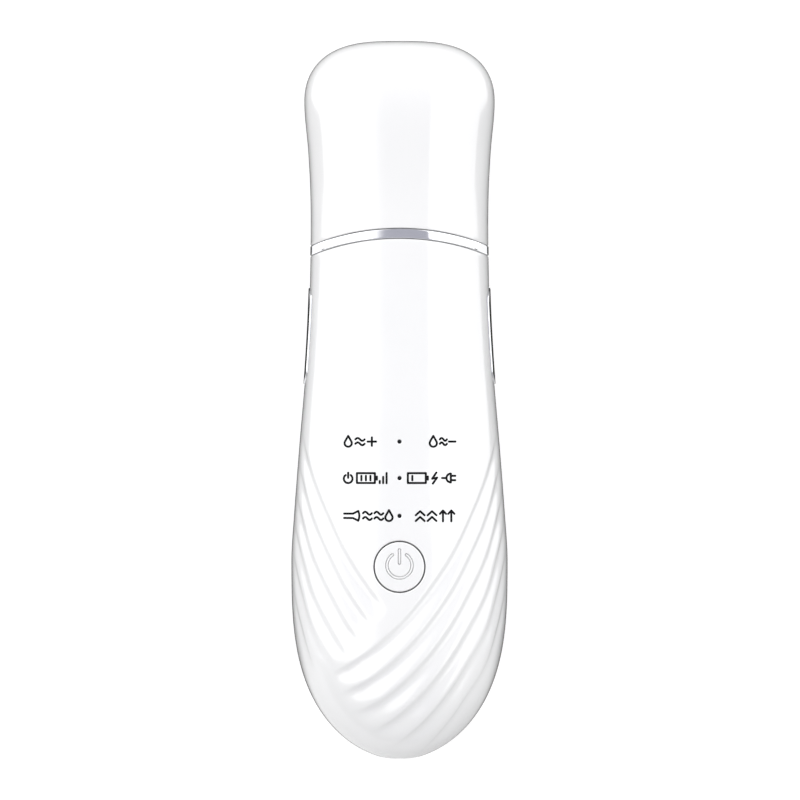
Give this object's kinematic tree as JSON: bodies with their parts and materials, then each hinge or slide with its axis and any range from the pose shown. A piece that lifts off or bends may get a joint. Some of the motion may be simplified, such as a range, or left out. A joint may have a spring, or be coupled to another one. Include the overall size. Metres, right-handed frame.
{
  "type": "ultrasonic skin scrubber",
  "caption": "Hand-held ultrasonic skin scrubber: a rounded handle with power button, lamps and side electrodes, and a slide-off cap over a steel spatula blade.",
  "frame": {"origin": "on the table under the middle of the length and width, with the scrubber lying on its back", "axes": "+Z out of the front, where the button is; +Y along the length towards the cap and blade; +X to the right seen from the front"},
  "size_m": [0.0498, 0.165, 0.0268],
  "materials": {
    "shell_white": "high-gloss white moulded plastic",
    "cap_white": "high-gloss white moulded plastic",
    "button_white": "gloss white with a light grey icon",
    "ring_chrome": "polished chrome plating",
    "electrode_chrome": "polished chrome plating",
    "collar_white": "fine-textured white plastic",
    "gasket_grey": "matt grey silicone",
    "blade_steel": "brushed stainless sheet",
    "black_plastic": "black moulded plastic",
    "screw_steel": "plated steel",
    "piezo_ceramic": "silvered ceramic",
    "lead_red": "wire insulation",
    "lead_black": "wire insulation",
    "board_green": "solder-masked glass-fibre board",
    "capacitor_blue": "shrink-sleeved can",
    "lamp_clear": "clear to milky acrylic",
    "plunger_white": "plain moulded plastic",
    "cell_wrap": "satin pouch foil",
    "pad_foam": "closed-cell foam"
  },
  "bodies": {
    "handle": {"front_shell": "shell_white", "back_shell": "shell_white", "trim_ring": "ring_chrome", "neck_collar": "collar_white", "blade_gasket": "gasket_grey", "spatula_blade": "blade_steel", "blade_clamp": "black_plastic", "clamp_screw_left": "screw_steel", "clamp_screw_right": "screw_steel", "piezo_disc_front": "piezo_ceramic", "piezo_disc_back": "piezo_ceramic", "piezo_lead_front": "lead_red", "piezo_lead_back": "lead_black", "electrode_left": "electrode_chrome", "electrode_right": "electrode_chrome", "electrode_lead_left": "lead_black", "electrode_lead_right": "lead_black", "main_board": "board_green", "control_chip": "black_plastic", "driver_chip": "black_plastic", "driver_coil": "black_plastic", "supply_capacitor": "capacitor_blue", "board_screw_lower_left": "screw_steel", "board_screw_lower_right": "screw_steel", "board_screw_upper_left": "screw_steel", "board_screw_upper_right": "screw_steel", "lamp_top": "lamp_clear", "lamp_middle": "lamp_clear", "lamp_bottom": "lamp_clear", "light_pin_top": "lamp_clear", "light_pin_middle": "lamp_clear", "light_pin_bottom": "lamp_clear", "switch_housing": "black_plastic", "battery_cell": "cell_wrap", "battery_pad": "pad_foam", "battery_lead_red": "lead_red", "battery_lead_black": "lead_black", "charge_board": "board_green", "charge_port_shell": "screw_steel", "charge_port_tongue": "black_plastic", "charge_lead_red": "lead_red", "charge_lead_black": "lead_black"},
    "cap": {"protective_cap": "cap_white"},
    "button": {"power_button": "button_white"},
    "plunger": {"switch_plunger": "plunger_white"}
  },
  "joints": [
    {"name": "cap_slide", "type": "slide", "parent": "handle", "child": "cap", "axis": [0, 1, 0], "range_m": [0, 0.05]},
    {"name": "button_press", "type": "slide", "parent": "handle", "child": "button", "axis": [0, 0, -1], "range_m": [0, 0.0005], "stiffness_N_per_m": 500, "springref_m": -0.0004},
    {"name": "plunger_press", "type": "slide", "parent": "handle", "child": "plunger", "axis": [0, 0, -1], "range_m": [0, 0.0005], "stiffness_N_per_m": 20}
  ],
  "couplings": [
    {"joint": "plunger_press", "follows": "button_press", "ratio": 1}
  ]
}
